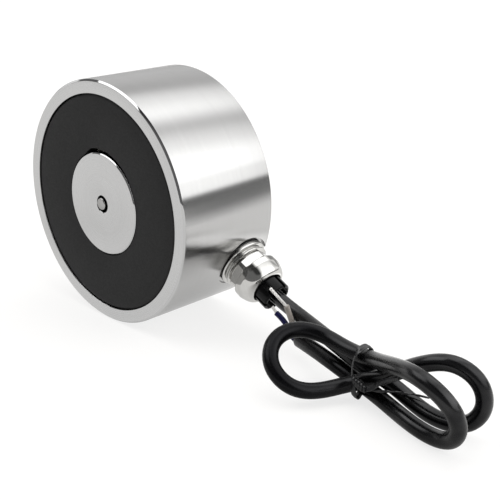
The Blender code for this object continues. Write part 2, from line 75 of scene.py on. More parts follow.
def smooth_route(points, step):
    """Points in metres, evenly spaced along the natural cubic spline through points in mm."""
    knots = np.array(points, float) * MM
    spans = np.linalg.norm(np.diff(knots, axis=0), axis=1)
    count = len(knots)
    system, load = np.eye(count), np.zeros((count, 3))
    for i in range(1, count - 1):
        before, after = spans[i - 1], spans[i]
        system[i, i - 1:i + 2] = before, 2 * (before + after), after
        load[i] = 6 * ((knots[i + 1] - knots[i]) / after - (knots[i] - knots[i - 1]) / before)
    bend = np.linalg.solve(system, load)
    fine = []
    for i, span in enumerate(spans):
        for done in np.linspace(0, span, 24, endpoint=False):
            left = span - done
            fine.append((bend[i] * left ** 3 + bend[i + 1] * done ** 3) / (6 * span)
                        + (knots[i] / span - bend[i] * span / 6) * left
                        + (knots[i + 1] / span - bend[i + 1] * span / 6) * done)
    fine = np.array(fine + [knots[-1]])
    along = np.r_[0, np.cumsum(np.linalg.norm(np.diff(fine, axis=0), axis=1))]
    stops = np.linspace(0, along[-1], max(2, int(round(along[-1] / step)) + 1))
    return np.stack([np.interp(stops, along, fine[:, k]) for k in range(3)], axis=1)


def put(name, bm, material, smooth=40):
    """Make a mesh piece of the object, shaded smooth up to an angle, riding on the part."""
    bmesh.ops.recalc_face_normals(bm, faces=bm.faces)
    mesh = bpy.data.meshes.new(name)
    bm.to_mesh(mesh)
    bm.free()
    mesh.shade_smooth()
    mesh.set_sharp_from_angle(angle=math.radians(smooth))
    mesh.materials.append(material)
    piece = bpy.data.objects.new(name, mesh)
    bpy.context.collection.objects.link(piece)
    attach(piece, "root")
    return piece


def drawn_wire(bm, points, radius, sides, cut_edge=0.0):
    """A round wire along points, with the edges of its cut ends rounded by a small
    radius; UV runs along it in metres and round it in turns."""
    uv = bm.loops.layers.uv.verify()
    points = [Vector(p) for p in points]
    radii = [radius] * len(points)
    if cut_edge:
        angles = [math.radians(degrees) for degrees in (30, 60, 85)]
        narrowed = [radius - cut_edge * (1 - math.cos(angle)) for angle in angles]
        for end, inner in ((0, 1), (-1, -2)):
            axis = (points[end] - points[inner]).normalized()
            start = points[end] - axis * cut_edge
            points[end] = start
            added = [start + axis * cut_edge * math.sin(angle) for angle in angles]
            if end == 0:
                points, radii = added[::-1] + points, narrowed[::-1] + radii
            else:
                points, radii = points + added, radii + narrowed
    side = (points[1] - points[0]).orthogonal().normalized()
    rings, along = [], [0.0]
    for i, point in enumerate(points):
        tangent = (points[min(i + 1, len(points) - 1)] - points[max(i - 1, 0)]).normalized()
        side = (side - tangent * side.dot(tangent)).normalized()
        up = tangent.cross(side)
        rings.append([bm.verts.new(point + (side * math.cos(a) + up * math.sin(a)) * radii[i])
                      for a in (math.tau * k / sides for k in range(sides))])
        if i:
            along.append(along[-1] + (point - points[i - 1]).length)
    for i, (low, high) in enumerate(zip(rings, rings[1:])):
        for k in range(sides):
            face = bm.faces.new((low[k], low[(k + 1) % sides], high[(k + 1) % sides], high[k]))
            turns = (k / sides, (k + 1) / sides, (k + 1) / sides, k / sides)
            lengths = (along[i], along[i], along[i + 1], along[i + 1])
            for loop, u, v in zip(face.loops, turns, lengths):
                loop[uv].uv = (u, v)
    bm.faces.new(rings[0][::-1])
    bm.faces.new(rings[-1])


def group(name, inputs, outputs):
    """An empty shader node group with its sockets, and its input and output nodes."""
    tree = bpy.data.node_groups.new(name, "ShaderNodeTree")
    for label, kind, value in inputs:
        socket = tree.interface.new_socket(label, in_out="INPUT", socket_type=kind)
        if value is not None:
            socket.default_value = value
    for label, kind in outputs:
        tree.interface.new_socket(label, in_out="OUTPUT", socket_type=kind)
    return tree, tree.nodes.new("NodeGroupInput"), tree.nodes.new("NodeGroupOutput")


def node(tree, kind, links=(), **settings):
    """Add a node, set its properties and fill its inputs with values or links."""
    made = tree.nodes.new(kind)
    for key, value in settings.items():
        setattr(made, key, value)
    for socket, source in dict(links).items():
        if isinstance(source, bpy.types.NodeSocket):
            tree.links.new(source, made.inputs[socket])
        else:
            made.inputs[socket].default_value = source
    return made


def maths(tree, operation, *values):
    """The result of a maths node on numbers or sockets."""
    return node(tree, "ShaderNodeMath", dict(enumerate(values)), operation=operation).outputs["Value"]


def measure(tree, operation, *vectors):
    """The length, distance or dot product of vectors."""
    links = dict(enumerate(vectors))
    return node(tree, "ShaderNodeVectorMath", links, operation=operation).outputs["Value"]


def ramp(tree, value, start, end, low=0.0, high=1.0):
    """A value turned from the range start to end into low to high, and held beyond it."""
    links = {"Value": value, "From Min": start, "From Max": end, "To Min": low, "To Max": high}
    return node(tree, "ShaderNodeMapRange", links).outputs["Result"]


def noise(tree, place, scale, detail=2.0, roughness=0.5):
    """Cloudy noise around 0.5 over a place."""
    links = {"Vector": place, "Scale": scale, "Detail": detail, "Roughness": roughness}
    return node(tree, "ShaderNodeTexNoise", links).outputs["Fac"]


def blend(tree, share, first, second, kind="RGBA"):
    """A mix of two colours, or of two numbers where kind is FLOAT."""
    links = {"Factor": share, "A": first, "B": second}
    return node(tree, "ShaderNodeMix", links, data_type=kind).outputs["Result"]


def finish_of(name, colour, roughness, metallic=0.0, specular=0.5):
    """A new material with a Principled shader that has its plain values on its own sockets."""
    material = bpy.data.materials.new(name)
    material.use_nodes = True
    tree = material.node_tree
    shader = tree.nodes["Principled BSDF"]
    shader.inputs["Base Color"].default_value = (*colour, 1)
    shader.inputs["Roughness"].default_value = roughness
    shader.inputs["Metallic"].default_value = metallic
    shader.inputs["Specular IOR Level"].default_value = specular
    return material, tree, shader


# Uneven surface shared by the plastics, rubber and resin: a soft mottling of the
# colour, and a grain that feeds roughness and bump.
mottle, given, result = group(
    "mottle",
    [("Vector", "NodeSocketVector", None), ("Scale", "NodeSocketFloat", 400.0),
     ("Dark", "NodeSocketColor", (0.01, 0.01, 0.01, 1)),
     ("Light", "NodeSocketColor", (0.03, 0.03, 0.03, 1)),
     ("Smooth", "NodeSocketFloat", 0.3), ("Rough", "NodeSocketFloat", 0.5)],
    [("Color", "NodeSocketColor"), ("Roughness", "NodeSocketFloat"), ("Height", "NodeSocketFloat")])
given = given.outputs
broad = noise(mottle, given["Vector"], 90.0, 3.0)
grain = noise(mottle, given["Vector"], given["Scale"], 5.0, 0.6)
tone = blend(mottle, broad, given["Dark"], given["Light"])
polish = ramp(mottle, grain, 0.3, 0.7, given["Smooth"], given["Rough"])
mottle.links.new(tone, result.inputs["Color"])
mottle.links.new(polish, result.inputs["Roughness"])
mottle.links.new(grain, result.inputs["Height"])


def mottled(name, dark, light, smooth, rough, scale, depth, specular=0.5):
    """A plastic, rubber or resin with mottled colour and a fine raised grain."""
    material, tree, shader = finish_of(name, light, rough, 0.0, specular)
    place = node(tree, "ShaderNodeTexCoord").outputs["Object"]
    values = {"Vector": place, "Scale": scale, "Dark": (*dark, 1), "Light": (*light, 1),
              "Smooth": smooth, "Rough": rough}
    surface = node(tree, "ShaderNodeGroup", values, node_tree=mottle).outputs
    bump = node(tree, "ShaderNodeBump",
                {"Height": surface["Height"], "Strength": 0.6, "Distance": depth})
    tree.links.new(surface["Color"], shader.inputs["Base Color"])
    tree.links.new(surface["Roughness"], shader.inputs["Roughness"])
    tree.links.new(bump.outputs["Normal"], shader.inputs["Normal"])
    return material


# The sheath is glossy in patches where it has been handled, and round the bend of its
# left loop its sheen is taken away as a painted shade.
PAINTED_SHADE_BEND = (0.094, -0.015, 0.013)
pvc = mottled("satin_pvc", (0.0012, 0.0012, 0.0015), (0.0026, 0.0026, 0.003),
              0.22, 0.34, 900.0, 0.00002, 0.13)
tree = pvc.node_tree
shader = tree.nodes["Principled BSDF"]
shader.inputs["Coat Roughness"].default_value = 0.2
shader.inputs["Specular Tint"].default_value = (0.94, 0.94, 1.0, 1)
place = node(tree, "ShaderNodeTexCoord").outputs["Object"]
# Painted shade: no sheen near the left loop's bend, full sheen beyond it.
sheen_beyond_painted_shade = ramp(tree, measure(tree, "DISTANCE", place, PAINTED_SHADE_BEND), 0.013, 0.03, 0.0, 0.48)
patches = ramp(tree, noise(tree, place, 60.0, 3.0), 0.38, 0.62, 0.35, 1.25)
tree.links.new(maths(tree, "MULTIPLY", sheen_beyond_painted_shade, patches), shader.inputs["Coat Weight"])
line = smooth_route(ROUTE, 1.5 * MM)
bm = bmesh.new()
drawn_wire(bm, line, CABLE_RADIUS, 32, 0.25 * MM)
cable = put("cable_sheath", bm, pvc)
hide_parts("cable")


# The two bared cores at the free end: one brown and one blue, each with a few
# millimetres of tinned strands showing.
CORE_RADIUS = 1.1 * MM
CORES = {
    "brown": [(77.9, 9.3, 7.0), (76.8, 9.0, 8.6), (76.0, 7.9, 12.1), (75.2, 6.7, 16.4),
              (74.6, 5.7, 19.8)],
    "blue": [(77.9, 9.0, 4.7), (76.2, 8.2, 6.0), (74.8, 7.3, 9.2), (72.4, 6.1, 13.2),
             (69.6, 5.4, 15.4)],
}
TIP_ENDS = {"brown": (67.8, 3.8, 25.6), "blue": (67.7, 5.2, 17.4)}
TIP_OVERLAP = 0.3 * MM
OUTER_STRANDS = 6
STRAND_RADIUS = 0.22 * MM
STRAND_SPACING = 0.38 * MM
STRAND_TWIST = 5.0 / (6 * MM)
insulation = {
    "brown": mottled("brown_core", (0.22, 0.20, 0.18), (0.32, 0.29, 0.26), 0.3, 0.45, 700.0, 0.00002),
    "blue": mottled("blue_core", (0.001, 0.001, 0.035), (0.001, 0.002, 0.06),
                    0.3, 0.4, 700.0, 0.00002, 0.25),
}
tinned, tree, shader = finish_of("tinned_strands", (0.68, 0.67, 0.65), 0.32, 1.0)
wear = noise(tree, node(tree, "ShaderNodeTexCoord").outputs["Object"], 2500.0)
tree.links.new(ramp(tree, wear, 0.0, 1.0, 0.2, 0.5), shader.inputs["Roughness"])
ends = []
for colour, route in CORES.items():
    points = smooth_route(route, 0.8 * MM)
    bm = bmesh.new()
    drawn_wire(bm, points, CORE_RADIUS, 20, 0.12 * MM)
    core = put("core_end_" + colour, bm, insulation[colour])
    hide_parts("core_" + colour)
    start = Vector(points[-1]) - Vector(points[-1] - points[-2]).normalized() * TIP_OVERLAP
    heading = Vector(TIP_ENDS[colour]) * MM - start
    length = heading.length
    heading.normalize()
    side = heading.orthogonal().normalized()
    up = heading.cross(side)
    bm = bmesh.new()
    for strand in range(OUTER_STRANDS + 1):
        spacing = STRAND_SPACING if strand < OUTER_STRANDS else 0.0
        twist = []
        for share in np.linspace(0, 1, 24):
            reached = float(share) * length
            angle = math.tau * strand / OUTER_STRANDS + STRAND_TWIST * reached
            beside = side * math.cos(angle) + up * math.sin(angle)
            twist.append(start + heading * reached + beside * spacing)
        drawn_wire(bm, twist, STRAND_RADIUS, 8)
    tip = put("tinned_tip_" + colour, bm, tinned)
    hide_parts("tip_" + colour)
    ends += [core, tip]


# The pot is turned from mild steel and left bright: fine circular tool marks on
# the wall and the rim, a chamfered edge in front and behind, and a flat
# seat cut in the wall for the gland.
POT_RADIUS = 50.0
POT_FRAME = Matrix.Translation((0, 0, POT_RADIUS)) @ Matrix.Rotation(math.radians(-90), 4, "X")
POT_BORE = 44.4
BASE_FRONT = 16.3
GLAND_FRAME = (Matrix.Translation((0, 12.1, POT_RADIUS))
               @ Matrix.Rotation(math.radians(90 + 26.8), 4, "Y"))


def turned(outline, segments, place, flats=None, turn=0.0, soft=0.12):
    """Spin a closed outline of (radius, height) in mm; flats holds the width of a hexagon
    and the height range that it is cut over, with softened corners."""
    bm = bmesh.new()
    rings = []
    for radius, height in outline:
        if radius < 1e-6:
            rings.append([bm.verts.new((0, 0, height))] * segments)
            continue
        ring = []
        for k in range(segments):
            angle = math.tau * (k + 0.5) / segments
            r = radius
            if flats and flats[1] <= height <= flats[2]:
                inside = (angle - math.radians(turn)) % (math.pi / 3) - math.pi / 6
                flat = flats[0] / 2 / math.cos(inside)
                if radius > flat - 1.5:
                    r = (radius + flat - math.hypot(radius - flat, soft)) / 2
            ring.append(bm.verts.new((r * math.cos(angle), r * math.sin(angle), height)))
        rings.append(ring)
    for low, high in zip(rings, rings[1:] + rings[:1]):
        for k in range(segments):
            j = (k + 1) % segments
            corners = []
            for vert in (low[k], low[j], high[j], high[k]):
                if vert not in corners:
                    corners.append(vert)
            if len(corners) > 2:
                bm.faces.new(corners)
    bmesh.ops.transform(bm, matrix=Matrix.Scale(MM, 4) @ place, verts=bm.verts)
    return bm


def rounded(outline, radius, steps=3):
    """Round the corners of an open outline by a small radius where they are sharp."""
    made = [outline[0]]
    for before, corner, after in zip(outline, outline[1:], outline[2:]):
        a, b, c = (Vector(p) for p in (before, corner, after))
        reach = min(radius, (a - b).length / 2.1, (c - b).length / 2.1)
        if reach < 1e-4 or (a - b).angle(c - b, math.pi) > math.radians(172):
            made.append(corner)
            continue
        first, last = b + (a - b).normalized() * reach, b + (c - b).normalized() * reach
        for k in range(steps + 1):
            t = k / steps
            point = first * (1 - t) ** 2 + b * 2 * t * (1 - t) + last * t ** 2
            made.append((point.x, point.y))
    return made + [outline[-1]]


def cut_away(piece, cutter):
    """Cut a mesh out of a piece and remove the cutter."""
    cutting = piece.modifiers.new("cut", "BOOLEAN")
    cutting.object = cutter
    cutting.operation = "DIFFERENCE"
    cutting.solver = "EXACT"
    evaluated = piece.evaluated_get(bpy.context.evaluated_depsgraph_get())
    mesh = bpy.data.meshes.new_from_object(evaluated)
    piece.modifiers.clear()
    piece.data = mesh
    bpy.data.objects.remove(cutter)
    mesh.set_sharp_from_angle(angle=math.radians(30))


# Tool marks shared by the turned metals. The noise is read at the radius plus the
# height, so that it runs round the axis, and drifts a little across the surface.
marks, given, result = group(
    "turning_marks",
    [("Vector", "NodeSocketVector", None), ("Fine", "NodeSocketFloat", 9000.0),
     ("Coarse", "NodeSocketFloat", 500.0)],
    [("Fine Lines", "NodeSocketFloat"), ("Soft Bands", "NodeSocketFloat"), ("Stains", "NodeSocketFloat")])
given = given.outputs
split = node(marks, "ShaderNodeSeparateXYZ", {"Vector": given["Vector"]}).outputs
across_axis = node(marks, "ShaderNodeCombineXYZ", {"X": split["X"], "Z": split["Z"]})
radial = measure(marks, "LENGTH", across_axis.outputs["Vector"])
travel = node(marks, "ShaderNodeCombineXYZ", {"X": maths(marks, "ADD", radial, split["Y"])})
drift = node(marks, "ShaderNodeVectorMath", {0: given["Vector"], "Scale": 0.004}, operation="SCALE")
lane = node(marks, "ShaderNodeVectorMath",
            {0: travel.outputs["Vector"], 1: drift.outputs["Vector"]}, operation="ADD")
lane = lane.outputs["Vector"]
marks.links.new(noise(marks, lane, given["Fine"], 2.0), result.inputs["Fine Lines"])
marks.links.new(noise(marks, lane, given["Coarse"], 4.0), result.inputs["Soft Bands"])
marks.links.new(noise(marks, given["Vector"], 45.0, 6.0), result.inputs["Stains"])


def bright_steel(name, dark, light, smooth, rough, depth, centre=(0, 0, -0.05), grooved=0.0):
    """Bright turned metal whose tool marks run round an axis parallel to Y; where it is
    grooved, reflections are drawn out along that axis."""
    material, tree, shader = finish_of(name, light, rough, 1.0)
    shader.inputs["Specular Tint"].default_value = (0.75, 0.75, 0.75, 1)
    shader.inputs["Anisotropic"].default_value = grooved
    if grooved:
        lengthways = node(tree, "ShaderNodeCombineXYZ", {"Y": 1.0})
        tree.links.new(lengthways.outputs["Vector"], shader.inputs["Tangent"])
    place = node(tree, "ShaderNodeTexCoord").outputs["Object"]
    centred = node(tree, "ShaderNodeMapping", {"Vector": place, "Location": centre})
    lines = node(tree, "ShaderNodeGroup", {"Vector": centred.outputs["Vector"]}, node_tree=marks)
    lines = lines.outputs
    tone = ramp(tree, maths(tree, "MULTIPLY", lines["Soft Bands"], lines["Stains"]), 0.12, 0.38)
    colour = blend(tree, tone, (*dark, 1), (*light, 1))
    polish = ramp(tree, lines["Fine Lines"], 0.25, 0.75, smooth, rough)
    bump = node(tree, "ShaderNodeBump",
                {"Height": lines["Fine Lines"], "Strength": 0.5, "Distance": depth})
    tree.links.new(colour, shader.inputs["Base Color"])
    tree.links.new(polish, shader.inputs["Roughness"])
    tree.links.new(bump.outputs["Normal"], shader.inputs["Normal"])
    return material


wall_steel = bright_steel("turned_steel_wall", (0.42, 0.418, 0.414), (0.44, 0.438, 0.434),
                          0.18, 0.21, 0.0000002, grooved=0.95)
face_steel = bright_steel("ground_steel_face", (0.53, 0.53, 0.53), (0.54, 0.54, 0.54),
                          0.26, 0.3, 0.0000003)
bevel_steel = bright_steel("cut_steel_bevel", (0.45, 0.45, 0.45), (0.47, 0.47, 0.47),
                           0.03, 0.06, 0.0000003)
corners = rounded([
    (12.0, 19.8), (12.0, 22.9), (12.4, 23.3), (49.5, 23.3), (49.98, 22.8), (49.98, -22.55),
    (49.23, -23.3), (POT_BORE + 0.12, -23.3), (POT_BORE, -23.18), (POT_BORE, -10.0)], 0.12)
outline = corners + [(POT_BORE, BASE_FRONT - 0.8), (POT_BORE - 0.8, BASE_FRONT), (12.0, BASE_FRONT)]
pot = put("turned_pot", turned(outline, 360, POT_FRAME), wall_steel, 30)
pot.data.materials.append(face_steel)
pot.data.materials.append(bevel_steel)
for face in pot.data.polygons:
    along_axis = abs(face.normal.y)
    if along_axis > 0.95:
        face.material_index = 1
    elif along_axis > 0.2:
        face.material_index = 2
cutter_outline = [(0, 38.4), (8.1, 38.4), (8.1, 48.3), (12.0, 48.3), (12.0, 56.3), (0, 56.3)]
cut_away(pot, put("seat_cutter", turned(cutter_outline, 96, GLAND_FRAME), wall_steel, 30))
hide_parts("housing")


# The core is a solid steel post pressed into the base. Its end is the round
# pole face, flush with the rim, with a pinned centre hole. Its back has the
# thread that the magnet is hung by.
THREAD_MINOR = 4.25
THREAD_MAJOR = 5.0
THREAD_PITCH = 1.5
core_outline = rounded([
    (0, -11.0), (2.7, -11.0), (2.7, -20.3), (3.5, -20.3), (3.5, -23.1), (3.7, -23.3), (20.55, -23.3),
    (21.0, -22.85), (21.0, 16.0), (11.7, 16.0), (11.7, 22.5), (11.3, 23.1), (4.5, 23.1), (4.3, 22.9)], 0.1)
for k in range(10):
    crest = 22.6 - THREAD_PITCH * k
    core_outline += [(THREAD_MINOR, crest), (THREAD_MAJOR, crest - 0.6),
                     (THREAD_MAJOR, crest - 0.75), (THREAD_MINOR, crest - 1.35)]
core_outline += [(THREAD_MINOR, 7.4), (0, 6.0)]
pole = put("pole_face_core", turned(core_outline, 240, POT_FRAME), face_steel, 30)
pole.data.materials.append(bevel_steel)
# The walls and bottom of the centre hole are painted black: a painted shade in the recess.
painted_bore_shade = mottled("painted_shade_in_bore", (0.003, 0.003, 0.003), (0.006, 0.006, 0.006),
                     0.3, 0.45, 1500.0, 0.00003)
pole.data.materials.append(painted_bore_shade)
for face in pole.data.polygons:
    from_axis = math.hypot(face.center.x, face.center.z - POT_RADIUS * MM)
    if from_axis < 3.55 * MM and -23.15 * MM < face.center.y < 0:
        face.material_index = 2
    elif abs(face.normal.y) < 0.95:
        face.material_index = 1
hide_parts("pole_core")
pin_steel = bright_steel("pin_steel", (0.32, 0.315, 0.31), (0.44, 0.435, 0.43), 0.2, 0.35, 0.000003)
pin_outline = rounded([(0, -23.3), (2.2, -23.3), (2.5, -23.0), (2.5, -20.6), (1.7, -20.4), (1.7, -10.7),
                       (0, -10.7)], 0.1)
off_centre = Matrix.Translation((-0.95, 0, -0.2))
pin = put("centre_pin_end", turned(pin_outline, 64, off_centre @ POT_FRAME), pin_steel, 30)
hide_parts("centre_pin")


# Black casting resin fills the ring between pole and rim. It is poured, then
# faced a little below the steel, so it is matt with a faint grain. Over part of
# the way round, between two angles, it has shrunk and left a gap at the pole.
GAP_START = 26
GAP_END = 118
GAP_WIDTH = 1.6 * MM
resin_black = mottled("casting_resin", (0.006, 0.006, 0.0063), (0.009, 0.009, 0.0094),
                      0.45, 0.6, 1500.0, 0.00003, 0.19)
resin_outline = rounded([
    (21.3, -17.6), (21.3, -22.8), (21.4, -22.9), (42.9, -22.9), (43.6, -22.8), (44.1, -22.35),
    (44.1, -14.1), (39.6, -14.1), (39.6, -17.6)], 0.15)
bm = turned(resin_outline, 240, POT_FRAME)
for vert in bm.verts:
    x, z = vert.co.x, vert.co.z - POT_RADIUS * MM
    from_axis, angle = math.hypot(x, z), math.degrees(math.atan2(z, x))
    if from_axis < 22 * MM and GAP_START < angle < GAP_END:
        share = (GAP_END - angle) / (GAP_END - GAP_START)
        shrunk = GAP_WIDTH * min(1.0, share / 0.14) * (1 - share) ** 0.8 / from_axis
        vert.co.x, vert.co.z = x * (1 + shrunk), z * (1 + shrunk) + POT_RADIUS * MM
resin = put("resin_ring", bm, resin_black, 30)
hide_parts("potting_ring")


# The cable gland is nickel-plated brass, polished: a body with a flange, a
# groove and a hexagon, and a dome nut with only a trace of its six flats. A
# black gasket seals its flange on the pot's flat seat.
SEAT_TOP = 49.4
HEXAGON_WIDTH = 17.2
HEXAGON_TURN = 54.5
NUT_RADIUS = 10.4
NUT_TURN = 77.0
NUT_FOOT_ROUND = 0.5
MOUTH_RADIUS = 6.95
DOME_START = 60.2
DOME_HEIGHT = 5.2
nickel = bright_steel("polished_nickel", (0.50, 0.495, 0.48), (0.56, 0.555, 0.54), 0.07, 0.13, 0.0000005,
                      (0, 0, 0))
body_outline = rounded([
    (7.5, 42.5), (7.8, 43.0), (7.8, SEAT_TOP - 0.8), (6.8, SEAT_TOP - 0.5), (10.5, SEAT_TOP - 0.5),
    (10.8, SEAT_TOP - 0.2), (10.8, SEAT_TOP + 0.9), (10.4, SEAT_TOP + 1.3), (9.3, SEAT_TOP + 1.5),
    (9.3, SEAT_TOP + 2.2), (9.9, SEAT_TOP + 2.5), (9.9, SEAT_TOP + 3.1), (8.3, SEAT_TOP + 3.5),
    (8.3, SEAT_TOP + 3.9), (8.9, SEAT_TOP + 3.9), (9.2, SEAT_TOP + 4.1), (9.5, SEAT_TOP + 4.3),
    (9.5, 56.7), (9.2, 56.9), (8.9, 57.1), (7.9, 57.1), (7.9, 61.2), (6.7, 61.4), (6.7, 56.0)], 0.1)
body_outline += [(3.4, 56.0), (3.4, 42.5)]
hexagon = (HEXAGON_WIDTH, SEAT_TOP + 3.8, 57.15)
body = put("gland_body_turned", turned(body_outline, 240, GLAND_FRAME, hexagon, HEXAGON_TURN), nickel, 30)
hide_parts("gland_body")
nut_outline = [(8.3, 57.4)]
for degrees in range(0, 90, 15):
    angle = math.radians(degrees)
    nut_outline.append((NUT_RADIUS - NUT_FOOT_ROUND + NUT_FOOT_ROUND * math.sin(angle),
                        57.9 - NUT_FOOT_ROUND * math.cos(angle)))
for k in range(25):
    t = k / 24
    nut_outline.append((NUT_RADIUS + (MOUTH_RADIUS - NUT_RADIUS) * (0.6 * t + 0.4 * t ** 3),
                        DOME_START + DOME_HEIGHT * (1 - (1 - t) ** 1.6)))
nut_outline = rounded(nut_outline + [(6.75, 65.1), (6.75, 64.3), (8.3, 62.6)], 0.12)
worn_flats = (2 * NUT_RADIUS, 57.0, 66.0)
nut = put("gland_nut_dome", turned(nut_outline, 240, GLAND_FRAME, worn_flats, NUT_TURN, 0.1), nickel, 30)
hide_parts("gland_dome_nut")
rubber = mottled("black_rubber", (0.010, 0.010, 0.010), (0.018, 0.018, 0.018), 0.5, 0.7, 1200.0, 0.00004)
gasket_outline = rounded([(8.3, 48.35), (10.4, 48.35), (10.6, 48.6), (10.4, 48.85), (8.3, 48.85)], 0.1)
gasket = put("gland_gasket_ring", turned(gasket_outline, 120, GLAND_FRAME), rubber, 30)
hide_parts("gland_gasket")


# Inside the nut a black nylon claw ring grips a rubber sleeve on the cable; its
# six fingers, parted by three slots right across, stand out of the nut's mouth.
SLOT_SIZE = (26, 1.6, 15.2)
SLOT_MIDDLE = 67.4
SLOT_TURN = 48.5
nylon = mottled("black_nylon", (0.0012, 0.0012, 0.0014), (0.0025, 0.0025, 0.0027),
                0.2, 0.3, 800.0, 0.00003, 0.15)
claw_outline = rounded([(5.25, 56.3), (6.35, 56.3), (6.35, 70.9), (5.75, 71.5), (5.25, 71.5)], 0.1)
claw = put("claw_ring", turned(claw_outline, 144, GLAND_FRAME), nylon, 30)
for k in range(3):
    bm = bmesh.new()
    bmesh.ops.create_cube(bm, size=1.0)
    bmesh.ops.scale(bm, vec=SLOT_SIZE, verts=bm.verts)
    bmesh.ops.translate(bm, vec=(0, 0, SLOT_MIDDLE), verts=bm.verts)
    turn = Matrix.Rotation(math.radians(SLOT_TURN + 60 * k), 4, "Z")
    bmesh.ops.transform(bm, matrix=Matrix.Scale(MM, 4) @ GLAND_FRAME @ turn, verts=bm.verts)
    cut_away(claw, put("claw_slot", bm, nylon))
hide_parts("gland_claw")
seal_outline = rounded([(3.05, 56.3), (4.95, 56.3), (4.95, 67.6), (4.35, 68.2), (3.05, 68.2)], 0.15)
seal = put("seal_sleeve", turned(seal_outline, 96, GLAND_FRAME), rubber, 30)
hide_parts("gland_seal")


# A flat twist tie, a plastic strip with a wire in its middle, goes round the
# four strands and is twisted into a knot in front, which leaves three ends.
TIE_LOOP = [
    (119.9, -8.6, 6.8), (119.5, -7.4, 3.5), (118.2, -4.0, 1.5), (116.4, -0.8, 0.6),
    (115.6, 2.7, 1.5), (116.2, 4.2, 4.8), (116.9, 5.1, 8.2), (117.7, 5.3, 11.5),
    (118.8, 3.1, 14.4), (119.7, 1.1, 17.3), (120.2, -0.7, 20.5), (120.1, -3.5, 21.6),
    (119.2, -6.2, 20.1), (118.6, -7.1, 17.8), (118.4, -7.8, 14.6), (118.9, -8.2, 10.7),
]
TIE_TAILS = [
    [(125.2, -9.2, 9.2), (128.4, -8.7, 11.0), (131.2, -8.4, 13.6), (134.7, -8.4, 16.0), (138.3, -8.9, 18.1)],
    [(125.2, -8.4, 8.6), (127.5, -6.6, 8.4), (130.2, -4.6, 8.5), (132.1, -2.4, 8.2), (134.5, -0.4, 7.9),
     (137.4, 1.0, 8.1), (140.3, 2.5, 7.9), (142.6, 4.1, 7.4)],
    [(120.4, -9.2, 11.8), (122.5, -8.9, 13.6), (126.7, -8.7, 15.5), (131.2, -8.3, 17.3)],
]
TAIL_WIDTHS = [(2.0, 1.6), (1.1, 0.7), (1.7, 1.2)]
TAIL_LEANS = [(0, 0.5, 0.85), None, (-0.14, 0.69, 0.25)]
KNOT_START = Vector((120.2, -9.2, 11.2))
KNOT_END = Vector((125.6, -9.0, 8.8))
KNOT_TURNS = 2.4


def strip(bm, points, sideways, widths, thickness, closed=False):
    """A flat strip with a raised middle along points, its widths along given directions."""
    section = [(-0.5, -0.3), (-0.5, 0.3), (-0.25, 0.32), (-0.12, 0.5), (0.12, 0.5), (0.25, 0.32), (0.5, 0.3),
               (0.5, -0.3), (0.25, -0.32), (0.12, -0.5), (-0.12, -0.5), (-0.25, -0.32)]
    rings = []
    count = len(points)
    for i in range(count):
        before = points[i - 1] if closed or i else points[0]
        after = points[(i + 1) % count] if closed or i < count - 1 else points[-1]
        along = Vector(after - before).normalized()
        wide = (sideways[i] - along * along.dot(sideways[i])).normalized()
        thick = along.cross(wide)
        rings.append([bm.verts.new(Vector(points[i]) + wide * widths[i] * a + thick * thickness * b)
                      for a, b in section])
    pairs = list(zip(rings, rings[1:])) + ([(rings[-1], rings[0])] if closed else [])
    for low, high in pairs:
        for k in range(len(section)):
            j = (k + 1) % len(section)
            bm.faces.new((low[k], low[j], high[j], high[k]))
    if not closed:
        bm.faces.new(rings[0][::-1])
        bm.faces.new(rings[-1])


def part_way(value, start, end):
    """How far a value in metres has come from start to end in mm, from 0 to 1."""
    return min(1.0, max(0.0, (value / MM - start) / (end - start)))


bm = bmesh.new()
loop = smooth_route(TIE_LOOP + TIE_LOOP[:1], 0.8 * MM)[:-1]
flat_on, edge_on = Vector((0.95, 0, -0.31)), Vector((0.65, -0.66, 0.37))
leans = []
for x, y, z in loop:
    in_front = part_way(y, -3.5, -6.0) * part_way(z, 21, 19) * part_way(z, 7, 9)
    leans.append(flat_on.lerp(edge_on, in_front))
strip(bm, loop, leans, [2.2 * MM] * len(loop), 0.55 * MM, True)
for route, (wide, narrow), lean in zip(TIE_TAILS, TAIL_WIDTHS, TAIL_LEANS):
    tail = smooth_route(route, 0.6 * MM)
    widths = [(wide + (narrow - wide) * share) * MM for share in np.linspace(0, 1, len(tail))]
    if lean:
        leans = [Vector(lean)] * len(tail)
    else:
        angles = [0.28 * i + 1 for i in range(len(tail))]
        leans = [Vector((0, math.sin(angle), math.cos(angle))) for angle in angles]
    strip(bm, tail, leans, widths, 0.45 * MM)
lengthwise = (KNOT_END - KNOT_START).normalized()
upward = Vector((0, 1, 0)).cross(lengthwise).normalized()
for k in range(2):
    coil = []
    for i in range(31):
        t = i / 30
        angle = KNOT_TURNS * math.tau * t + math.pi * k
        reach = 0.9 + 0.6 * math.sin(math.pi * t)
        coil.append(KNOT_START.lerp(KNOT_END, t) + upward * reach * math.cos(angle)
                    + lengthwise.cross(upward) * 0.8 * reach * math.sin(angle))
    points = smooth_route([tuple(point) for point in coil], 0.5 * MM)
    strip(bm, points, [lengthwise] * len(points), [1.1 * MM] * len(points), 0.5 * MM)
tie_plastic = mottled("tie_plastic", (0.005, 0.005, 0.006), (0.01, 0.01, 0.011),
                      0.25, 0.35, 800.0, 0.00003, 0.6)
tie = put("twist_tie_strip", bm, tie_plastic, 50)
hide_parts("twist_tie")


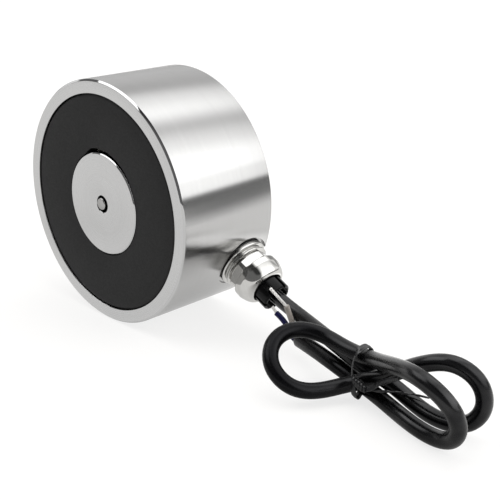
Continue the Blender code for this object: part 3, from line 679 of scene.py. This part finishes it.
# The pieces inside the pot are plain: nylon bobbin, copper winding, yellow
# tape, card disc, and the leads with their splice sleeves.
hidden = {
    "coil_bobbin": mottled("bobbin_nylon", (0.68, 0.66, 0.58), (0.76, 0.74, 0.67),
                           0.4, 0.55, 500.0, 0.00003),
    "coil_winding": bright_steel("enamelled_copper", (0.42, 0.16, 0.06), (0.56, 0.24, 0.10),
                                 0.2, 0.3, 0.00001),
    "coil_tape": mottled("polyester_tape", (0.62, 0.47, 0.09), (0.74, 0.58, 0.14),
                         0.35, 0.5, 600.0, 0.00003),
    "insulating_disc": mottled("insulating_card", (0.38, 0.30, 0.20), (0.50, 0.41, 0.28),
                               0.7, 0.85, 900.0, 0.00005),
    "splice_sleeve_brown": mottled("splice_sleeve", (0.74, 0.73, 0.68), (0.82, 0.81, 0.76),
                                   0.4, 0.5, 700.0, 0.00002),
}
hidden["splice_sleeve_blue"] = hidden["splice_sleeve_brown"]
for colour in ("brown", "blue"):
    hidden["inner_core_" + colour] = hidden["coil_lead_" + colour] = insulation[colour]
for name, material in hidden.items():
    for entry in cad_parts[name].material_slots:
        entry.material = material


# The studio floor is white. What the metal sees of it is painted on its own, as painted
# reflections: painted light towards the rear, painted shade round a few spots (a painted
# shadow under the hank, beside the gland and in front), and a painted light streak with a
# painted dim edge on the far side of the gland.
FLOOR_WHITE = (0.85, 0.85, 0.85)
PAINTED_REAR_LIGHT = 0.28
PAINTED_SHADE_SPOTS = [
    ((0.125, -0.008, 0), 0.035, 0.075, -0.75),
    ((0.09, 0.055, 0), 0.008, 0.018, -0.55),
    ((-0.105, -0.092, 0), 0.01, 0.045, -0.22),
]
PAINTED_STREAK_ACROSS = (0.346, 0.938, 0)
PAINTED_STREAK_STEPS = [(0.0625, 0.064, -0.3, 1.0), (0.08, 0.095, 0.0, -1.0), (0.03, 0.045, 0.3, 0.0)]
PAINTED_STREAK_CENTRE = (0.1, 0.036, 0)


def stage_mesh(name, bm, material):
    """A surface of the studio, which isn't part of the object."""
    mesh = bpy.data.meshes.new(name)
    bm.to_mesh(mesh)
    bm.free()
    mesh.materials.append(material)
    surface = bpy.data.objects.new(name, mesh)
    bpy.context.collection.objects.link(surface)
    return surface


white, tree, shader = finish_of("floor_white", FLOOR_WHITE, 0.9, 0.0, 0.0)
seen = node(tree, "ShaderNodeLightPath").outputs
place = node(tree, "ShaderNodeTexCoord").outputs["Object"]
towards_rear = node(tree, "ShaderNodeSeparateXYZ", {"Vector": place}).outputs["Y"]
# Painted reflections, for glossy rays only: painted light towards the rear, painted shade round the spots,
# then the painted streak.
level = ramp(tree, towards_rear, -0.05, 0.05, 0.0, PAINTED_REAR_LIGHT)
for centre, near, far, change in PAINTED_SHADE_SPOTS:
    away = measure(tree, "DISTANCE", place, centre)
    level = maths(tree, "ADD", level, ramp(tree, away, near, far, change, 0.0))
across = measure(tree, "DOT_PRODUCT", place, PAINTED_STREAK_ACROSS)
edge, beyond, within = [ramp(tree, across, *step) for step in PAINTED_STREAK_STEPS]
painted_streak = maths(tree, "ADD", maths(tree, "ADD", edge, beyond), within)
away = measure(tree, "DISTANCE", place, PAINTED_STREAK_CENTRE)
painted_streak = maths(tree, "MULTIPLY", painted_streak, ramp(tree, away, 0.035, 0.055, 1.0, 0.0))
level = maths(tree, "ADD", level, painted_streak)
mirrored = maths(tree, "MULTIPLY_ADD", seen["Is Glossy Ray"], level, 1.0)
shown = maths(tree, "MAXIMUM", seen["Is Camera Ray"], seen["Is Glossy Ray"])
shown = maths(tree, "MAXIMUM", shown, seen["Is Transmission Ray"])
paint = blend(tree, shown, (*FLOOR_WHITE, 1), (0.24, 0.236, 0.228, 1))
glow = blend(tree, shown, (0, 0, 0, 1), (0.76, 0.76, 0.76, 1))
tree.links.new(paint, shader.inputs["Base Color"])
tree.links.new(glow, shader.inputs["Emission Color"])
tree.links.new(mirrored, shader.inputs["Emission Strength"])
bm = bmesh.new()
bmesh.ops.create_grid(bm, x_segments=2, y_segments=2, size=20.0)
stage_mesh("studio_floor", bm, white)


# A low dark card stands beside the object, seen only by the metal, where it paints a
# dark band into the reflections; it is painted lighter at its foot.
CARD_CORNERS = ((0.20, 0.07, 0.001), (0.20, 1.17, 0.001), (0.30, 1.17, 0.066), (0.30, 0.07, 0.066))
painted_reflection_card, tree, shader = finish_of("painted_reflection_card", (0.26, 0.26, 0.26), 0.9, 0.0, 0.0)
place = node(tree, "ShaderNodeTexCoord").outputs["Object"]
height = node(tree, "ShaderNodeSeparateXYZ", {"Vector": place}).outputs["Z"]
# Painted lighter at its foot and darker above, for its reflection only.
tree.links.new(ramp(tree, height, 0.0, 0.025, 0.8, 0.25), shader.inputs["Base Color"])
bm = bmesh.new()
bm.faces.new([bm.verts.new(corner) for corner in CARD_CORNERS])
card = stage_mesh("low_dark_card", bm, painted_reflection_card)
card.visible_camera = card.visible_shadow = card.visible_diffuse = False


# The light tent: light levels over and behind the object by the angle round the
# Y axis, in degrees, and in front of it by the direction's X. The camera's side
# is mostly dark, and the camera itself sees plain white.
BEHIND = [
    (0, 0.25), (6, 0.26), (9, 2.3), (20, 2.3), (25, 2.85), (38, 2.85), (45, 2.5), (52, 2.1), (58, 1.9),
    (64, 1.6), (71, 1.16), (77, 1.36), (84, 2.15), (90, 2.5), (97, 2.27), (103, 1.98), (109, 1.87),
    (115, 1.53), (122, 0.8), (128, 0.85), (134, 0.95), (140, 1.06), (147, 1.1), (153, 1.14),
    (159, 1.12), (166, 1.08), (173, 0.95), (180, 0.55),
]
IN_FRONT = [
    (-1.0, 1.2), (-0.94, 1.2), (-0.925, 0.2), (-0.775, 0.2), (-0.765, 2.9), (-0.175, 2.9),
    (-0.165, 0.05), (1.0, 0.05),
]
BRIGHTEST = 3.0
world = bpy.data.worlds.new("studio")
world.use_nodes = True
bpy.context.scene.world = world
tree = world.node_tree
backdrop = tree.nodes["Background"]
backdrop.inputs["Color"].default_value = (1, 1, 1, 1)
aim = node(tree, "ShaderNodeTexCoord").outputs["Generated"]
axes = node(tree, "ShaderNodeSeparateXYZ", {"Vector": aim}).outputs


def bands(value, stops):
    """Light levels, up to the brightest, at stops along a value from 0 to 1."""
    levels = node(tree, "ShaderNodeValToRGB", {"Fac": value})
    elements = levels.color_ramp.elements
    while len(elements) < len(stops):
        elements.new(0.5)
    for element, (position, light) in zip(elements, stops):
        grey = light / BRIGHTEST
        element.position = position
        element.color = (grey, grey, grey, 1)
    return maths(tree, "MULTIPLY", levels.outputs["Color"], BRIGHTEST)


turn = maths(tree, "DIVIDE", maths(tree, "ARCTAN2", axes["Z"], axes["X"]), math.pi)
back_light = bands(turn, [(degrees / 180, light) for degrees, light in BEHIND])
straight_back = ramp(tree, axes["Y"], 0.72, 0.85, 1.0, 0.5)
back_light = maths(tree, "MULTIPLY", back_light, straight_back)
front_high = bands(ramp(tree, axes["X"], -1.0, 1.0), [((x + 1) / 2, light) for x, light in IN_FRONT])
front_low = ramp(tree, axes["X"], -0.94, -0.925, 1.6, 0.2)
raised = ramp(tree, axes["Z"], 0.45, 0.58)
inward = ramp(tree, axes["Y"], -0.72, -0.62)
front_light = blend(tree, maths(tree, "MULTIPLY", raised, inward), front_low, front_high, "FLOAT")
leftward = maths(tree, "MINIMUM", axes["X"], 0.0)
slant = maths(tree, "MULTIPLY_ADD", leftward, 0.4, axes["Y"])
light = blend(tree, ramp(tree, slant, -0.38, -0.15), front_light, back_light, "FLOAT")
sight = node(tree, "ShaderNodeLightPath").outputs["Is Camera Ray"]
tree.links.new(blend(tree, sight, light, 1.0, "FLOAT"), backdrop.inputs["Strength"])
bpy.context.scene.view_settings.view_transform = "Standard"
